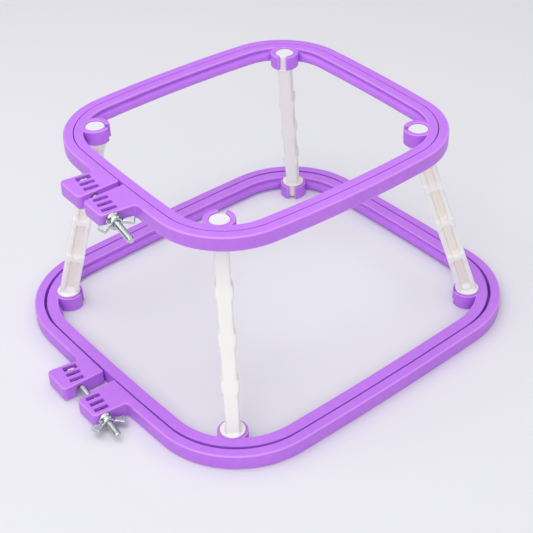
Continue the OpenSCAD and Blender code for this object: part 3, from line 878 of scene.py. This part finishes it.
def white_plastic():
    """Softer white plastic, with painted shade: a warmer, darker tint in the pockets and a cooler, darker
    tint on the plugs' ends.
    """
    m, nodes, links, shader, noise, _, tones = material("white_plastic")
    body = tones(noise(30, 4), *(linear(*tone) for tone in WHITE_TONES))
    # Painted shade: points deep in the pockets take a warmer, darker colour.
    toned = mixed(nodes, links, marked(nodes, "pocket"), body, linear(*WHITE_POCKET_SHADE))
    # Painted shade: the plugs' end faces, which face the light from above, take a darker, cooler colour.
    toned = mixed(nodes, links, marked(nodes, "end"), toned, linear(*WHITE_END_SHADE))
    links.new(toned, shader.inputs["Base Color"])
    links.new(tones(noise(700, 2), *LEG_GLOSS), shader.inputs["Roughness"])
    fine = bump(nodes, links, noise(2200, 2), 0.12, 0.0001)
    links.new(bump(nodes, links, noise(70, 2), 0.08, 0.001, fine), shader.inputs["Normal"])
    shader.inputs["Subsurface Weight"].default_value = LEG_DEPTH_WEIGHT
    shader.inputs["Subsurface Radius"].default_value = LEG_DEPTH
    return m


def zinc(name, gloss):
    """Bright zinc plating, a little blotchy in tone and in gloss."""
    m, nodes, links, shader, noise, _, tones = material(name, metallic=1.0)
    links.new(tones(noise(240, 4), *(linear(*tone) for tone in ZINC_TONES)), shader.inputs["Base Color"])
    links.new(tones(noise(700, 3), *gloss), shader.inputs["Roughness"])
    links.new(bump(nodes, links, noise(900, 2), 0.05, 0.0001), shader.inputs["Normal"])
    return m


# Placing.

middle_x = (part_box("lower_inner_hoop")[0][0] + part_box("lower_inner_hoop")[1][0]) / 2 / MM
ON_TABLE = Matrix.Translation((middle_x, 0, 0))
ON_LEGS = (Matrix.Translation((middle_x + UPPER_SHIFT[0], UPPER_SHIFT[1], FRAME_H - UPPER_H))
           @ Matrix.Rotation(UPPER_TURN, 4, "Z"))
SHARP = math.radians(32)
# A point gets the painted edge highlight where it lies in a rounded edge: where all faces around it are
# narrower than EDGE_STRIP, in mm, and the surface turns by EDGE_TURN per mm. It counts in full from the
# second number on, and not past the last.
EDGE_STRIP, EDGE_TURN = 1.0, (0.3, 0.6, 1.8)
# Faces nearer to each other than this, in mm, count as this far apart.
EDGE_NEAR = 0.02


def mark_edge_highlights(obj):
    """Marks the points in rounded outer edges, where the plastic gets a painted highlight."""
    bm = bmesh.new()
    bm.from_mesh(obj.data)
    narrow = [f.calc_area() / max(e.calc_length() for e in f.edges) < EDGE_STRIP for f in bm.faces]
    low, full, top = EDGE_TURN
    marks = []
    for v in bm.verts:
        turn = 0.0
        if all(narrow[f.index] for f in v.link_faces):
            for e in v.link_edges:
                a, b = (f.calc_center_median() for f in e.link_faces)
                turn = max(turn, e.calc_face_angle_signed(0.0) / max((a - b).length, EDGE_NEAR))
        marks.append(float(smooth((turn - low) / (full - low))) if turn < top else 0.0)
    bm.free()
    obj.data.attributes.new("edge", "FLOAT", "POINT").data.foreach_set("value", marks)


def piece(obj, node, finish, matrix):
    """Names, places and dresses a finished mesh, which stands for its CAD node."""
    obj.name = node + "_detail"
    obj.data.name = obj.name
    # The lilac plastic's rounded edges get a painted highlight.
    if finish == LILAC:
        mark_edge_highlights(obj)
    obj.data.transform(Matrix.Scale(MM, 4) @ matrix)
    obj.data.materials.clear()
    obj.data.materials.append(finish)
    for face in obj.data.polygons:
        face.material_index = 0
    obj.data.shade_smooth()
    obj.data.set_sharp_from_angle(angle=SHARP)
    weigh = obj.modifiers.new("weighted normals", "WEIGHTED_NORMAL")
    weigh.keep_sharp = True
    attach(obj, BODY_OF[node])
    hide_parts(node)


LILAC, WHITE = lilac_plastic(), white_plastic()
BOLT_ZINC, NUT_ZINC = zinc("bolt_zinc", BOLT_GLOSS), zinc("nut_zinc", NUT_GLOSS)

piece(outer_hoop(UPPER_OUTLINE, UPPER_OUTER_W, UPPER_H, UPPER_GAP, UPPER_SEAM_SHOW),
      "upper_outer_hoop", LILAC, ON_LEGS)
piece(inner_hoop(UPPER_INNER, UPPER_INNER_W, UPPER_H, UPPER_SOCKET),
      "upper_inner_hoop", LILAC, ON_LEGS)
piece(outer_hoop(LOWER_OUTLINE, LOWER_OUTER_W, LOWER_H, LOWER_GAP, LOWER_SEAM_SHOW, CORNER_SLACK),
      "lower_outer_hoop", LILAC, ON_TABLE)
piece(inner_hoop(LOWER_INNER, LOWER_INNER_W, LOWER_H, LOWER_SOCKET),
      "lower_inner_hoop", LILAC, ON_TABLE)
for name, corner in (("front_left", (-1, -1)), ("front_right", (1, -1)),
                     ("rear_left", (-1, 1)), ("rear_right", (1, 1))):
    piece(leg(corner), "leg_" + name, WHITE, ON_TABLE)
for name, o, h, gap, turn, place in (("upper", UPPER_OUTLINE, UPPER_H, UPPER_GAP, UPPER_NUT_TURN, ON_LEGS),
                                     ("lower", LOWER_OUTLINE, LOWER_H, LOWER_GAP, LOWER_NUT_TURN, ON_TABLE)):
    on_bolt = place @ bolt_frame(o, h)
    piece(clamp_bolt(gap), name + "_clamp_bolt", BOLT_ZINC, on_bolt)
    seat = Matrix.Translation((0, 0, nut_seat(gap) + SEAT_GAP)) @ Matrix.Rotation(turn, 4, "Z")
    piece(wing_nut(), name + "_wing_nut", NUT_ZINC, on_bolt @ seat)


# Floor, light and camera.

FLOOR_SIZE, FLOOR_Z = 6.0, -0.0002
bpy.ops.mesh.primitive_plane_add(size=FLOOR_SIZE, location=(0, 0, FLOOR_Z))
floor = bpy.context.object
floor.name = "floor"
paper = bpy.data.materials.new("floor_paper")
paper.use_nodes = True
paper_shader = paper.node_tree.nodes["Principled BSDF"]
paper_shader.inputs["Base Color"].default_value = (*linear(*FLOOR_TONE), 1)
paper_shader.inputs["Roughness"].default_value = 0.9
paper_shader.inputs["Specular IOR Level"].default_value = 0.1
floor.data.materials.append(paper)


def lamp(name, place, at, size, power):
    """A square lamp that faces a point; lengths in metres, power in watts."""
    data = bpy.data.lights.new(name, "AREA")
    data.size, data.energy = size, power
    obj = bpy.data.objects.new(name, data)
    bpy.context.scene.collection.objects.link(obj)
    obj.location = place
    obj.rotation_mode = "QUATERNION"
    obj.rotation_quaternion = (Vector(at) - Vector(place)).to_track_quat("-Z", "Y")


lamp("overhead", (-0.3, 0.1, 1.5), (0, 0, 0.05), 1.2, 10)
lamp("front", (-1.95, -1.95, 1.3), (0, 0, 0.08), 1.8, 22)

world = bpy.context.scene.world or bpy.data.worlds.new("studio")
bpy.context.scene.world = world
world.use_nodes = True
sky = world.node_tree
back = sky.nodes["Background"]
back.inputs["Strength"].default_value = 1.0
# Light from the sky by its height, as the sine of its angle: a dim band above the horizon and a bright ring
# over it, which show in the metal and on the hoops' tops.
SKY = ((0.0, 0.55), (0.14, 0.5), (0.2, 0.06), (0.46, 0.06), (0.54, 1.3), (0.7, 1.25), (0.85, 0.5), (1.0, 0.3))
SKY_BLUE = 1.01
to_sky = sky.nodes.new("ShaderNodeTexCoord")
split = sky.nodes.new("ShaderNodeSeparateXYZ")
heights = sky.nodes.new("ShaderNodeValToRGB")
sky.links.new(to_sky.outputs["Generated"], split.inputs["Vector"])
sky.links.new(split.outputs["Z"], heights.inputs["Fac"])
sky.links.new(heights.outputs["Color"], back.inputs["Color"])
while len(heights.color_ramp.elements) < len(SKY):
    heights.color_ramp.elements.new(0.5)
for element, (at, light) in zip(heights.color_ramp.elements, SKY):
    element.position, element.color = at, (light, light, light * SKY_BLUE, 1)

# The camera stands where the photograph's perspective puts it.
FOCAL_PX, IMAGE_PX, SENSOR = 1225.3, 533, 36.0
AZIMUTH, ELEVATION, ROLL = math.radians(-38.899), math.radians(37.061), math.radians(-1.897)
DISTANCE, TARGET = 1.01788, Vector((middle_x - 43.618, -54.787, FRAME_H / 2)) * MM
back_way = Vector((math.sin(AZIMUTH) * math.cos(ELEVATION), -math.cos(AZIMUTH) * math.cos(ELEVATION),
                   math.sin(ELEVATION)))
level = (-back_way).cross(Vector((0, 0, 1))).normalized()
up = level.cross(-back_way)
right = level * math.cos(ROLL) + up * math.sin(ROLL)
up = up * math.cos(ROLL) - level * math.sin(ROLL)
lens = bpy.data.cameras.new("camera")
lens.sensor_width = SENSOR
lens.lens = SENSOR * FOCAL_PX / IMAGE_PX
lens.clip_start, lens.clip_end = 0.05, 50
camera = bpy.data.objects.new("camera", lens)
bpy.context.scene.collection.objects.link(camera)
camera.matrix_world = Matrix.Translation(TARGET + back_way * DISTANCE) @ Matrix(
    (right, up, back_way)).transposed().to_4x4()
bpy.context.scene.camera = camera
bpy.context.scene.view_settings.view_transform = "Standard"
